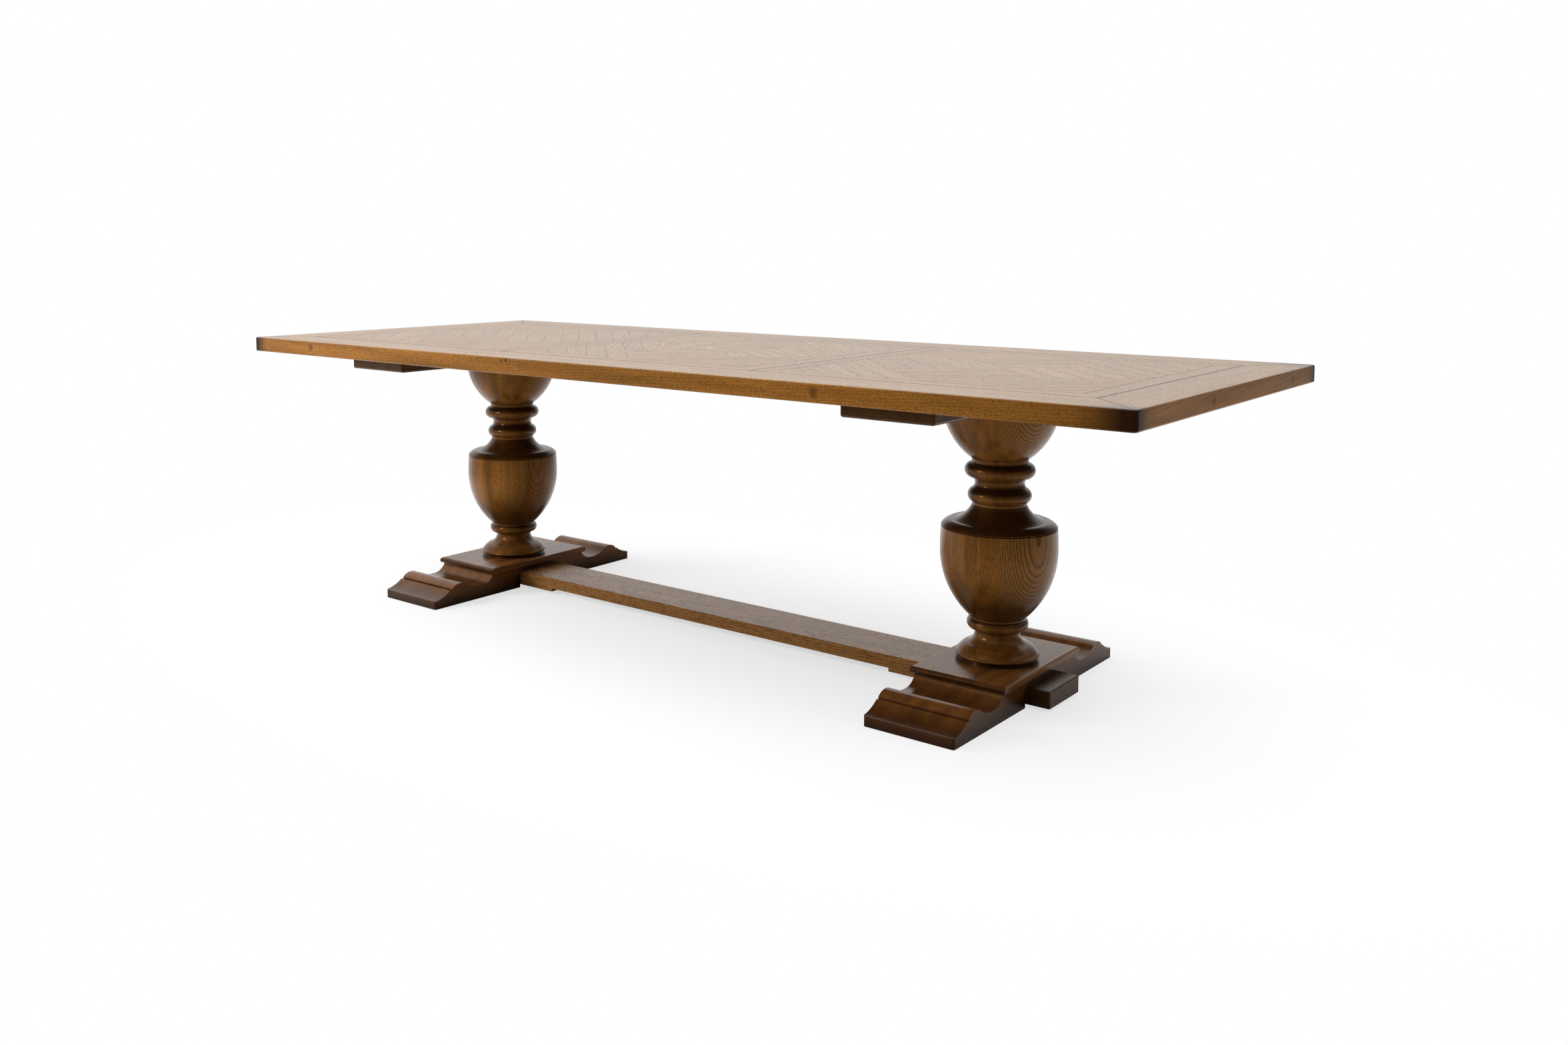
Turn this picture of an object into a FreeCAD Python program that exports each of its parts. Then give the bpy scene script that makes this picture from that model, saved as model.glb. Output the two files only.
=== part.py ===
# Refectory table in oak: a parquetry top in a mitred frame, carried by two turned columns
# that stand on moulded sledge feet, with one low stretcher board running through both feet.
# X runs along the table, Y across it and Z up. The origin is on the floor, under the middle of the top.
import FreeCAD, Part
import math
import os
from FreeCAD import Vector

# Whole table
table_height = 770.0
top_length = 2800.0
top_width = 1100.0
column_inset = 550.0

# Clearance between a piece and the hole or rebate that takes it
fit_gap = 0.3
tiny = 0.001

# Frame of the top, with a ledge on its inner edge that carries the ground board
top_thickness = 42.0
frame_width = 130.0
corner_radius = 11.0
edge_round = 4.0
ledge_width = 15.0
ledge_height = 8.0

# Loose tongues hidden in the mitres
tongue_length = 110.0
tongue_width = 36.0
tongue_thickness = 6.0

# Parquetry: square panels in a row, each with a mitred band around a quartered diamond
panel_names = ("left", "middle", "right")
parquet_thickness = 8.0
band_width = 52.0
strips_per_block = 5
joint_bevel = 1.0

# Cross bearers under the top, set in from its long edges
bearer_inset = 45.0
bearer_width = 228.0
bearer_thickness = 31.0
bearer_round = 6.0

# Sledge feet: the moulding is set out from the cap board towards the toe
foot_length = 810.0
foot_width = 228.0
foot_height = 64.0
toe_height = 24.0
toe_sag = 4.5
toe_corner = 6.0
step_ledge_height = 45.5
step_ledge_run = 8.0
hump_front = 29.0
hump_height = 61.5
hump_radius = 42.0
hump_to_valley = 78.0
valley_height = 38.0
valley_flat = 10.0
cove_radius = 45.0
cove_fillet = 4.0

# Cap boards on the feet, with a quirked bead on each end
cap_length = 392.0
cap_thickness = 16.0
cap_overhang = 9.0
cap_side_overhang = 8.0
cap_quirk = 1.5
cap_edge_round = 4.0

# Stretcher, let up into the underside of the feet, its own underside relieved between them
stretcher_width = 156.0
stretcher_thickness = 40.0
stretcher_floor_gap = 10.0
stretcher_overhang = 60.0
stretcher_relief = 9.0
stretcher_shoulder = 140.0
stretcher_round = 4.0

# Column, from the cap board upwards: heights of its members
plinth_height = 9.0
lip_height = 8.0
bell_height = 18.0
flare_height = 24.0
scotia_height = 11.0
lower_bead_height = 26.0
urn_neck_height = 4.0
urn_rise = 162.0
urn_wall = 52.0
crease_height = 4.0
shoulder_edge_height = 13.0
shoulder_sweep_height = 37.0
shoulder_neck_height = 6.0
middle_bead_height = 33.0
waist_height = 25.0
upper_bead_height = 36.0
collar_height = 9.0

# Column radii
plinth_radius = 90.0
lip_radius = 99.0
lip_root_radius = 95.0
bell_radius = 88.0
bell_top_radius = 75.0
flare_radius = 57.5
scotia_radius = 53.0
lower_bead_root = 61.0
lower_bead_radius = 72.5
urn_neck_radius = 66.0
urn_radius = 138.0
urn_shoulder_radius = 136.0
crease_depth = 2.0
shoulder_edge_radius = 130.0
shoulder_break_radius = 107.0
shoulder_sweep_radius = 76.0
shoulder_neck_radius = 64.0
middle_bead_radius = 74.5
waist_radius = 58.0
upper_bead_root = 66.0
upper_bead_radius = 82.5
bowl_radius = 138.0

# Round tenons turned on the ends of each column
tenon_radius = 30.0
foot_tenon_length = 28.0
head_tenon_length = 20.0

# Bolt that draws the stretcher, foot and cap up to the column
bolt_radius = 6.0
bolt_bite = 110.0
bolt_head_height = 8.0
bolt_head_across = 19.0
washer_radius = 15.0
washer_thickness = 2.5
bolt_pocket_radius = 17.0
bolt_pocket_depth = 12.0

# Wood screws, their heads let in flush
screw_radius = 2.75
screw_head_radius = 5.5
screw_head_height = 4.0
top_screw_bite = 28.0
top_screw_side = 75.0
top_screw_edge = 40.0

# Levels and half sizes that follow from the driving dimensions
half_length = top_length / 2
half_width = top_width / 2
field_half_length = half_length - frame_width
field_half_width = half_width - frame_width
panel_half_length = field_half_length / len(panel_names)
column_spacing = top_length - 2 * column_inset
bearer_length = top_width - 2 * bearer_inset
top_underside = table_height - top_thickness
ledge_top = top_underside + ledge_height
ground_top = table_height - parquet_thickness
bearer_underside = top_underside - bearer_thickness
cap_width = foot_width + 2 * cap_side_overhang
cap_top = foot_height + cap_thickness
stretcher_top = stretcher_floor_gap + stretcher_thickness
washer_bottom = stretcher_floor_gap + bolt_pocket_depth - washer_thickness
foot_inner_side = (column_spacing - foot_width) / 2
foot_outer_side = (column_spacing + foot_width) / 2
stretcher_half_length = foot_outer_side + stretcher_overhang
column_places = {"left": -column_spacing / 2, "right": column_spacing / 2}
signs = (-1, 1)
corners = [(sx, sy) for sx in signs for sy in signs]
up = Vector(0, 0, 1)


def one(shape):
    """The single solid that a cut or fusion leaves"""
    if len(shape.Solids) != 1:
        raise ValueError("expected one solid, found %d" % len(shape.Solids))
    return shape.Solids[0]


def export(name, *solids):
    """Write one piece, or a group of like pieces, to its own file"""
    shape = solids[0] if len(solids) == 1 else Part.makeCompound(list(solids))
    shape.exportStep("parts/" + name + ".step")


def box(x0, x1, y0, y1, z0, z1):
    """Block between two corners"""
    return Part.makeBox(x1 - x0, y1 - y0, z1 - z0, Vector(x0, y0, z0))


def rod(radius, z0, z1, x=0.0, y=0.0):
    """Upright cylinder"""
    return Part.makeCylinder(radius, z1 - z0, Vector(x, y, z0))


def plate(points, z0, z1):
    """Flat piece with a straight-sided outline in plan"""
    outline = [Vector(x, y, z0) for x, y in points]
    return Part.Face(Part.makePolygon(outline + outline[:1])).extrude(up * (z1 - z0))


def level_edges(shape, z):
    """Edges that lie flat at one height"""
    return [e for e in shape.Edges if all(abs(v.Z - z) < tiny for v in e.Vertexes)]


def upright_edges(shape):
    """Straight edges that stand upright"""
    return [e for e in shape.Edges if math.hypot(e.tangentAt(e.FirstParameter).x,
                                                 e.tangentAt(e.FirstParameter).y) < tiny]


def line(a, b):
    """Straight edge of a profile"""
    return Part.LineSegment(a, b).toShape()


def arc(a, through, b):
    """Round edge of a profile"""
    return Part.Arc(a, through, b).toShape()


def swell(narrow, wide):
    """Round edge of a profile that ends upright at its wide end"""
    width = wide.x - narrow.x
    rise = wide.z - narrow.z
    radius = (width ** 2 + rise ** 2) / (2 * width)
    half_turn = math.asin(rise / radius) / 2
    middle = Vector(wide.x - radius * (1 - math.cos(half_turn)), 0, wide.z - radius * math.sin(half_turn))
    return arc(narrow, middle, wide)


# The frame of the top
def mitre_groove(sx, sy):
    """V groove along the top of one mitre"""
    inner = Vector(sx * field_half_length, sy * field_half_width, table_height)
    outward = Vector(sx, sy, 0).normalize()
    across = Vector(-outward.y, outward.x, 0)
    start = inner - outward * joint_bevel
    section = [start + (across * 2 + up) * joint_bevel,
               start + (across * -2 + up) * joint_bevel,
               start - up * joint_bevel]
    reach = math.sqrt(2) * frame_width + 2 * joint_bevel
    return Part.Face(Part.makePolygon(section + section[:1])).extrude(outward * reach)


def frame_ring():
    """The whole frame before it is parted at the mitres"""
    slab = box(-half_length, half_length, -half_width, half_width, top_underside, table_height)
    slab = slab.makeFillet(corner_radius, upright_edges(slab))
    slab = slab.makeFillet(edge_round, level_edges(slab, table_height) + level_edges(slab, top_underside))
    field = box(-field_half_length, field_half_length, -field_half_width, field_half_width,
                ledge_top, table_height)
    well_x = field_half_length - ledge_width
    well_y = field_half_width - ledge_width
    ring = slab.cut(field).cut(box(-well_x, well_x, -well_y, well_y, top_underside, ledge_top))
    inner_rim = [e for e in level_edges(ring, table_height)
                 if all(abs(v.X) < field_half_length + tiny and abs(v.Y) < field_half_width + tiny
                        for v in e.Vertexes)]
    ring = ring.makeChamfer(joint_bevel, inner_rim)
    for sx, sy in corners:
        ring = ring.cut(mitre_groove(sx, sy))
    return ring


def tongue(sx, sy, end_room):
    """Loose tongue across one mitre, or its slot when there is room at its ends"""
    reach = tongue_length / 2 + end_room
    bottom = (table_height + top_underside - tongue_thickness) / 2
    blank = box(-reach, reach, -tongue_width / 2, tongue_width / 2, bottom, bottom + tongue_thickness)
    blank.rotate(Vector(0, 0, 0), up, 45 * sx * sy)
    blank.translate(Vector(sx * (half_length - frame_width / 2), sy * (half_width - frame_width / 2), 0))
    return blank


def rail_span(side):
    """Plan of the wedge that parts one rail from the frame at its two mitres"""
    outer_x = half_length + frame_width
    outer_y = half_width + frame_width
    inner_x = field_half_length - ledge_width
    inner_y = field_half_width - ledge_width
    if side in ("front", "back"):
        s = -1 if side == "front" else 1
        return [(-outer_x, s * outer_y), (outer_x, s * outer_y), (inner_x, s * inner_y), (-inner_x, s * inner_y)]
    s = -1 if side == "left" else 1
    return [(s * outer_x, -outer_y), (s * outer_x, outer_y), (s * inner_x, inner_y), (s * inner_x, -inner_y)]


def make_frame():
    """Four mitred rails and the tongues between them"""
    ring = frame_ring()
    slots = [tongue(sx, sy, fit_gap) for sx, sy in corners]
    for side in ("front", "back", "left", "right"):
        rail = ring.common(plate(rail_span(side), top_underside, table_height))
        for slot in slots:
            rail = rail.cut(slot)
        for hole in top_screws(fit_gap):
            rail = rail.cut(hole)
        export("top_rail_" + side, one(rail))
    export("mitre_tongues", *[tongue(sx, sy, 0.0) for sx, sy in corners])


def make_ground():
    """Board under the parquetry, stepped to sit on the frame's ledge"""
    x = field_half_length - fit_gap
    y = field_half_width - fit_gap
    board = box(-x, x, -y, y, ledge_top, ground_top)
    x -= ledge_width
    y -= ledge_width
    board = board.fuse(box(-x, x, -y, y, top_underside, ledge_top)).removeSplitter()
    export("ground_board", one(board))


# Parquetry
def strip(points):
    """One parquetry piece, with the fine bevel that draws its joints"""
    piece = plate(points, ground_top, table_height)
    return piece.makeChamfer(joint_bevel, level_edges(piece, table_height))


def make_panel(name, middle):
    """Band, diamond and corners of one square panel"""
    px = panel_half_length
    py = field_half_width
    fx = px - band_width
    fy = py - band_width

    def at(x, y):
        return (middle + x, y)

    export("band_long_" + name,
           *[strip([at(-px, s * py), at(px, s * py), at(fx, s * fy), at(-fx, s * fy)]) for s in signs])
    export("band_cross_" + name,
           *[strip([at(s * px, -py), at(s * px, py), at(s * fx, fy), at(s * fx, -fy)]) for s in signs])

    # Diamond in its own slanted axes: a runs up to the right, b up to the left, each from -1 to 1
    def slanted(a, b):
        return at((a - b) * fx / 2, (a + b) * fy / 2)

    def quarter(sa, sb, along_a):
        pieces = []
        for k in range(strips_per_block):
            low = k / strips_per_block
            high = (k + 1) / strips_per_block
            span_a = (0, sa) if along_a else (sa * low, sa * high)
            span_b = (sb * low, sb * high) if along_a else (0, sb)
            pieces.append(strip([slanted(span_a[0], span_b[0]), slanted(span_a[1], span_b[0]),
                                 slanted(span_a[1], span_b[1]), slanted(span_a[0], span_b[1])]))
        return pieces

    export("diamond_rising_" + name, *(quarter(1, 1, True) + quarter(-1, -1, True)))
    export("diamond_falling_" + name, *(quarter(1, -1, False) + quarter(-1, 1, False)))

    def corner_block(sx, sy):
        pieces = []
        for k in range(strips_per_block):
            low = k / strips_per_block
            high = (k + 1) / strips_per_block
            outline = [at(sx * fx, sy * fy * low), at(sx * fx, sy * fy * high)]
            if k < strips_per_block - 1:
                outline.append(at(sx * fx * high, sy * fy))
            outline.append(at(sx * fx * low, sy * fy))
            pieces.append(strip(outline))
        return pieces

    export("corner_rising_" + name, *(corner_block(-1, 1) + corner_block(1, -1)))
    export("corner_falling_" + name, *(corner_block(1, 1) + corner_block(-1, -1)))


# Screws and bolts
def top_screws(spare=0.0):
    """Screws from the ends of the bearers up into the long rails, or their holes when spare is the clearance"""
    seat = bearer_underside + screw_head_height
    y = bearer_length / 2 - top_screw_edge
    screws = []
    for place in column_places.values():
        for sx, sy in corners:
            x = place + sx * top_screw_side
            head = rod(screw_head_radius + spare, bearer_underside, seat, x, sy * y)
            shank = rod(screw_radius + spare, seat, top_underside + top_screw_bite + spare, x, sy * y)
            screws.append(one(head.fuse(shank)))
    return screws


def make_fixings():
    """Screws, bolts and washers, each kind in one group"""
    export("top_screws", *top_screws())
    bolts = []
    washers = []
    for x in column_places.values():
        corner_reach = bolt_head_across / math.sqrt(3)
        outline = [(x + corner_reach * math.cos(math.radians(60 * k)),
                    corner_reach * math.sin(math.radians(60 * k))) for k in range(6)]
        head = plate(outline, washer_bottom - bolt_head_height, washer_bottom)
        bolts.append(one(head.fuse(rod(bolt_radius, washer_bottom, cap_top + bolt_bite, x))))
        washer = rod(washer_radius, washer_bottom, washer_bottom + washer_thickness, x)
        washers.append(washer.cut(rod(bolt_radius + fit_gap, 0.0, cap_top, x)).Solids[0])
    export("column_bolts", *bolts)
    export("bolt_washers", *washers)


# Bearers
def make_bearer(name, x):
    """Cross bearer on the head of one column, its lower edges and ends rounded"""
    bearer = box(x - bearer_width / 2, x + bearer_width / 2, -bearer_length / 2, bearer_length / 2,
                 bearer_underside, top_underside)
    bearer = bearer.makeFillet(bearer_round, upright_edges(bearer))
    bearer = bearer.makeFillet(bearer_round, level_edges(bearer, bearer_underside))
    mortise_top = bearer_underside + head_tenon_length + fit_gap
    bearer = bearer.cut(rod(tenon_radius + fit_gap, bearer_underside, mortise_top, x))
    for hole in top_screws(fit_gap):
        bearer = bearer.cut(hole)
    export("bearer_" + name, one(bearer))


# Columns
def column_profile():
    """Half outline of the turning, from the axis at its foot to the axis at its head"""
    def at(radius, height):
        return Vector(radius, 0, height)

    plinth = cap_top + plinth_height
    lip = plinth + lip_height
    bell_top = lip + bell_height
    scotia = bell_top + flare_height
    lower_bead = scotia + scotia_height
    urn_neck = lower_bead + lower_bead_height
    urn_base = urn_neck + urn_neck_height
    urn_widest = urn_base + urn_rise
    crease = urn_widest + urn_wall
    shoulder = crease + crease_height
    sweep = shoulder + shoulder_edge_height
    shoulder_neck = sweep + shoulder_sweep_height
    middle_bead = shoulder_neck + shoulder_neck_height
    waist = middle_bead + middle_bead_height
    upper_bead = waist + waist_height
    collar = upper_bead + upper_bead_height
    bowl = collar + collar_height
    crease_floor = urn_shoulder_radius - crease_depth
    tenon_foot = cap_top - foot_tenon_length
    tenon_head = bearer_underside + head_tenon_length

    return [
        line(at(0, tenon_foot), at(tenon_radius, tenon_foot)),
        line(at(tenon_radius, tenon_foot), at(tenon_radius, cap_top)),
        line(at(tenon_radius, cap_top), at(plinth_radius, cap_top)),
        line(at(plinth_radius, cap_top), at(plinth_radius, plinth)),
        arc(at(plinth_radius, plinth), at(lip_radius, (plinth + lip) / 2), at(lip_root_radius, lip)),
        arc(at(lip_root_radius, lip), at(bell_radius, (lip + bell_top) / 2), at(bell_top_radius, bell_top)),
        arc(at(bell_top_radius, bell_top), at(flare_radius, (bell_top + scotia) / 2), at(scotia_radius, scotia)),
        arc(at(scotia_radius, scotia), at(scotia_radius, (scotia + lower_bead) / 2),
            at(lower_bead_root, lower_bead)),
        arc(at(lower_bead_root, lower_bead), at(lower_bead_radius, (lower_bead + urn_neck) / 2),
            at(urn_neck_radius, urn_neck)),
        line(at(urn_neck_radius, urn_neck), at(urn_neck_radius, urn_base)),
        swell(at(urn_neck_radius, urn_base), at(urn_radius, urn_widest)),
        swell(at(urn_shoulder_radius, crease), at(urn_radius, urn_widest)),
        line(at(urn_shoulder_radius, crease), at(crease_floor, (crease + shoulder) / 2)),
        line(at(crease_floor, (crease + shoulder) / 2), at(urn_shoulder_radius, shoulder)),
        arc(at(urn_shoulder_radius, shoulder), at(shoulder_edge_radius, (shoulder + sweep) / 2),
            at(shoulder_break_radius, sweep)),
        arc(at(shoulder_break_radius, sweep), at(shoulder_sweep_radius, (sweep + shoulder_neck) / 2),
            at(shoulder_neck_radius, shoulder_neck)),
        line(at(shoulder_neck_radius, shoulder_neck), at(shoulder_neck_radius, middle_bead)),
        arc(at(shoulder_neck_radius, middle_bead), at(middle_bead_radius, (middle_bead + waist) / 2),
            at(shoulder_neck_radius, waist)),
        arc(at(shoulder_neck_radius, waist), at(waist_radius, (waist + upper_bead) / 2),
            at(upper_bead_root, upper_bead)),
        arc(at(upper_bead_root, upper_bead), at(upper_bead_radius, (upper_bead + collar) / 2),
            at(upper_bead_root, collar)),
        line(at(upper_bead_root, collar), at(upper_bead_root, bowl)),
        swell(at(upper_bead_root, bowl), at(bowl_radius, bearer_underside)),
        line(at(bowl_radius, bearer_underside), at(tenon_radius, bearer_underside)),
        line(at(tenon_radius, bearer_underside), at(tenon_radius, tenon_head)),
        line(at(tenon_radius, tenon_head), at(0, tenon_head)),
        line(at(0, tenon_head), at(0, tenon_foot)),
    ]


def make_column(name, x):
    """Turned column with its tenons, bored for the bolt"""
    column = Part.Face(Part.Wire(column_profile())).revolve(Vector(0, 0, 0), up, 360)
    column.translate(Vector(x, 0, 0))
    column = column.cut(rod(bolt_radius + fit_gap, cap_top - foot_tenon_length, cap_top + bolt_bite + fit_gap, x))
    export("column_" + name, one(column))


# Feet
def toe_profile(s):
    """Moulding of one end of a foot, from the cap board out to the toe; s is the side of the table"""
    def at(distance, height):
        return Vector(0, s * distance, height)

    cove_top = cap_length / 2 - cap_overhang
    cove_rim = foot_height - cove_fillet
    cove_centre_height = valley_height + cove_radius
    cove_reach = math.sqrt(cove_radius ** 2 - (cove_centre_height - cove_rim) ** 2)
    cove_foot = cove_top + cove_reach
    cove_turn = math.asin(cove_reach / cove_radius) / 2
    valley = cove_foot + valley_flat
    crest = valley + hump_to_valley
    step = crest + hump_front
    ledge = step + step_ledge_run
    toe = foot_length / 2

    # The hump and the valley are two arcs that meet in one tangent
    drop = hump_height - valley_height
    both_radii = (hump_to_valley ** 2 + drop ** 2) / (2 * drop)
    valley_radius = both_radii - hump_radius
    lean = math.asin(hump_to_valley / both_radii)
    hump_centre = hump_height - hump_radius
    valley_centre = valley_height + valley_radius
    meet = at(crest - hump_radius * math.sin(lean), hump_centre + hump_radius * math.cos(lean))
    valley_side = at(valley + valley_radius * math.sin(lean / 2), valley_centre - valley_radius * math.cos(lean / 2))
    cove_side = at(cove_foot - cove_radius * math.sin(cove_turn),
                   cove_centre_height - cove_radius * math.cos(cove_turn))
    step_top = hump_centre + math.sqrt(hump_radius ** 2 - hump_front ** 2)

    return [
        line(at(cove_top, foot_height), at(cove_top, cove_rim)),
        arc(at(cove_top, cove_rim), cove_side, at(cove_foot, valley_height)),
        line(at(cove_foot, valley_height), at(valley, valley_height)),
        arc(at(valley, valley_height), valley_side, meet),
        arc(meet, at(crest, hump_height), at(step, step_top)),
        line(at(step, step_top), at(step, step_ledge_height)),
        line(at(step, step_ledge_height), at(ledge, step_ledge_height)),
        arc(at(ledge, step_ledge_height),
            at((ledge + toe) / 2, (step_ledge_height + toe_height) / 2 - toe_sag),
            at(toe, toe_height)),
        line(at(toe, toe_height), at(toe, 0)),
    ]


def make_foot(name, x):
    """Sledge foot, moulded at both ends and notched from below for the stretcher"""
    front = toe_profile(-1)
    back = toe_profile(1)
    cove_top = cap_length / 2 - cap_overhang
    top_line = line(Vector(0, -cove_top, foot_height), Vector(0, cove_top, foot_height))
    sole = line(Vector(0, foot_length / 2, 0), Vector(0, -foot_length / 2, 0))
    outline = Part.Wire(Part.sortEdges(front + back + [top_line, sole])[0])
    foot = Part.Face(outline).extrude(Vector(foot_width, 0, 0))
    foot.translate(Vector(x - foot_width / 2, 0, 0))
    toe_edges = [e for e in upright_edges(foot)
                 if all(abs(abs(v.Y) - foot_length / 2) < tiny for v in e.Vertexes)]
    foot = foot.makeFillet(toe_corner, toe_edges)
    notch = stretcher_width / 2 + fit_gap
    foot = foot.cut(box(x - foot_width / 2, x + foot_width / 2, -notch, notch, 0.0, stretcher_top))
    foot = foot.cut(rod(tenon_radius + fit_gap, stretcher_top, foot_height, x))
    export("foot_" + name, one(foot))


def make_cap(name, x):
    """Cap board on one foot, a quirked bead on its ends and its side edges rounded"""
    bead = (cap_thickness - cap_quirk) / 2
    half = cap_length / 2

    def at(s, inset, height):
        return Vector(x - cap_width / 2, s * (half - inset), foot_height + height)

    def nosing(s):
        return [line(at(s, bead, cap_thickness), at(s, bead, 2 * bead)),
                arc(at(s, bead, 2 * bead), at(s, 0, bead), at(s, bead, 0))]

    flats = [line(at(-1, bead, height), at(1, bead, height)) for height in (0, cap_thickness)]
    outline = Part.Wire(Part.sortEdges(nosing(-1) + nosing(1) + flats)[0])
    cap = Part.Face(outline).extrude(Vector(cap_width, 0, 0))
    sides = [e for e in level_edges(cap, cap_top) if abs(e.tangentAt(e.FirstParameter).x) < tiny]
    cap = cap.makeFillet(cap_edge_round, sides)
    cap = cap.cut(rod(tenon_radius + fit_gap, foot_height, cap_top, x))
    export("foot_cap_" + name, one(cap))


def make_stretcher():
    """Stretcher board with rounded edges and a relieved underside, bored for its fixings"""
    half = stretcher_width / 2
    board = box(-stretcher_half_length, stretcher_half_length, -half, half, stretcher_floor_gap, stretcher_top)
    board = board.makeFillet(stretcher_round, upright_edges(board) + level_edges(board, stretcher_top))
    relief_end = foot_inner_side - stretcher_shoulder
    board = board.cut(box(-relief_end, relief_end, -half, half,
                          stretcher_floor_gap, stretcher_floor_gap + stretcher_relief))
    for x in column_places.values():
        board = board.cut(rod(bolt_pocket_radius, stretcher_floor_gap,
                              stretcher_floor_gap + bolt_pocket_depth, x))
        board = board.cut(rod(bolt_radius + fit_gap, stretcher_floor_gap, stretcher_top, x))
    export("stretcher", one(board))


os.makedirs("parts", exist_ok=True)
make_frame()
make_ground()
for index, panel in enumerate(panel_names):
    make_panel(panel, (2 * index + 1) * panel_half_length - field_half_length)
for column, place in column_places.items():
    make_bearer(column, place)
    make_column(column, place)
    make_foot(column, place)
    make_cap(column, place)
make_stretcher()
make_fixings()
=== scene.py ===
"""Looks of an oak refectory table: stained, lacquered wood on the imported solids, on a plain studio floor"""
import math

import bpy
from bpy.props import FloatProperty, FloatVectorProperty, PointerProperty
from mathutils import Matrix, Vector


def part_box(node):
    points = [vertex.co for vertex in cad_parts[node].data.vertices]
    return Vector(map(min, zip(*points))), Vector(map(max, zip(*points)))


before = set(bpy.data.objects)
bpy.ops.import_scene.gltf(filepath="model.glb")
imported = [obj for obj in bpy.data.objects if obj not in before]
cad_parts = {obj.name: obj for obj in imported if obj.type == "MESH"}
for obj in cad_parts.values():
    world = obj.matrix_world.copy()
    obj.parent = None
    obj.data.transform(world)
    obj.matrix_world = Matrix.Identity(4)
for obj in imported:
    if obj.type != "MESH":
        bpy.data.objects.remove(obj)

bl_info = {
    "name": "Refectory table finish",
    "version": (1, 0, 0),
    "blender": (4, 5, 0),
    "location": "3D View > Sidebar > Table",
    "description": "Gives the oak, the steel and the studio of a parquetry refectory table",
    "category": "Material",
}

MM = 0.001
PANELS = ("left", "middle", "right")
SIDES = ("left", "right")

# Parquetry: strips that rise or fall to the right, inside bands along the edges of each panel
RISING = 1
FALLING = -1
STRIPS_PER_BLOCK = 5
BAND_WIDTH = 52 * MM

# Heights on a column: the bead under the urn, parts of the urn, and the middle of the two beads above it
LOWER_BEAD = 150 * MM
URN_NECK = 180 * MM
URN_FOOT = 205 * MM
URN_BELLY = 230 * MM
UPPER_BEADS = 500 * MM

# Glue lines of the columns face this way
GLUE_NORMAL = Vector((0.89, 0.46, 0.0)).normalized()

# Grain directions, as the turn that lays the grain on the pattern's own X axis
GRAIN_ALONG = (0.0, 0.0, 0.0)
GRAIN_ACROSS = (0.0, 0.0, -math.pi / 2)
GRAIN_RISING = (0.0, 0.0, -math.pi / 4)
GRAIN_FALLING = (0.0, 0.0, math.pi / 4)
GRAIN_UPRIGHT = (0.0, math.pi / 2, 0.0)

# Oak: how a log leans off its boards, and the sizes of a pore and of a streak, along and across the grain
LOG_LEAN = (0.0, 0.03, 0.04)
STREAK_WIDTH = 1000 * MM / 34
PORE = (12 * MM, 1.7 * MM, 1.7 * MM)
STREAK = (400 * MM, STREAK_WIDTH, STREAK_WIDTH)

# Width of one ring of the wave pattern at a scale of 1
RING_AT_SCALE_ONE = 0.1 * math.pi

# Share of a stain's reach that is dark all over
CORNER_CORE = 0.2
JOINT_CORE = 0.25
KNOT_CORE = 0.4

# Half sizes of the top and of one panel, read from the solids
rail_low, rail_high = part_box("top_rail_front")
half_length = rail_high.x
half_width = -rail_low.y
band_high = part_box("band_long_middle")[1]
panel_half_length = band_high.x
panel_half_width = band_high.y


def linear(code):
    """Linear colour of an sRGB hex value"""
    channels = [int(code[i:i + 2], 16) / 255 for i in (1, 3, 5)]
    return tuple(c / 12.92 if c <= 0.04045 else ((c + 0.055) / 1.055) ** 2.4 for c in channels)


def colour(name, description, code):
    """Colour that a user may change"""
    return FloatVectorProperty(name=name, description=description, subtype="COLOR", min=0.0, max=1.0,
                               default=linear(code))


def length(name, description, millimetres):
    """Length that a user may change"""
    return FloatProperty(name=name, description=description, unit="LENGTH", min=0.0, precision=4,
                         default=millimetres * MM)


def power(name, description, watts):
    """Power of a lamp that a user may change"""
    return FloatProperty(name=name, description=description, unit="POWER", min=0.0, default=watts)


def strength(name, description, value):
    """Strength of light that a user may change"""
    return FloatProperty(name=name, description=description, min=0.0, default=value)


class TopSettings(bpy.types.PropertyGroup):
    """Finish of the frame and the parquetry"""
    rail_pale: colour("Rail", "Stained oak of the frame between its pores", "#8B5B25")
    rail_dark: colour("Rail grain", "Stained growth rings of the frame", "#654116")
    strip_pale: colour("Strip", "Stained oak of the parquetry between its pores", "#90714C")
    strip_dark: colour("Strip grain", "Stained growth rings of the parquetry", "#72573A")
    # The wax colour also paints the shade in hollows, on ledges and at board ends
    wax: colour("Wax", "Dark wax left in joints and hollows", "#160703")
    lacquer: colour("Lacquer", "Amber of the lacquer, which tints what it reflects", "#C08A55")
    ring_gap: length("Ring gap", "Width of one year's growth", 6.0)
    stain_reach: length("Corner stain", "How far the dark stain reaches from a corner", 120.0)


class ColumnSettings(bpy.types.PropertyGroup):
    """Finish of the turned columns"""
    pale: colour("Column", "Stained oak of the columns", "#784C1D")
    dark: colour("Column shade", "Darker streaks of the columns", "#4A2D0D")
    line: colour("Column rings", "Pale growth rings of the columns", "#755128")
    ring_gap: length("Ring gap", "Width of one year's growth", 5.0)
    board: length("Board", "Thickness of the boards that a column is glued from", 48.0)


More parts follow.
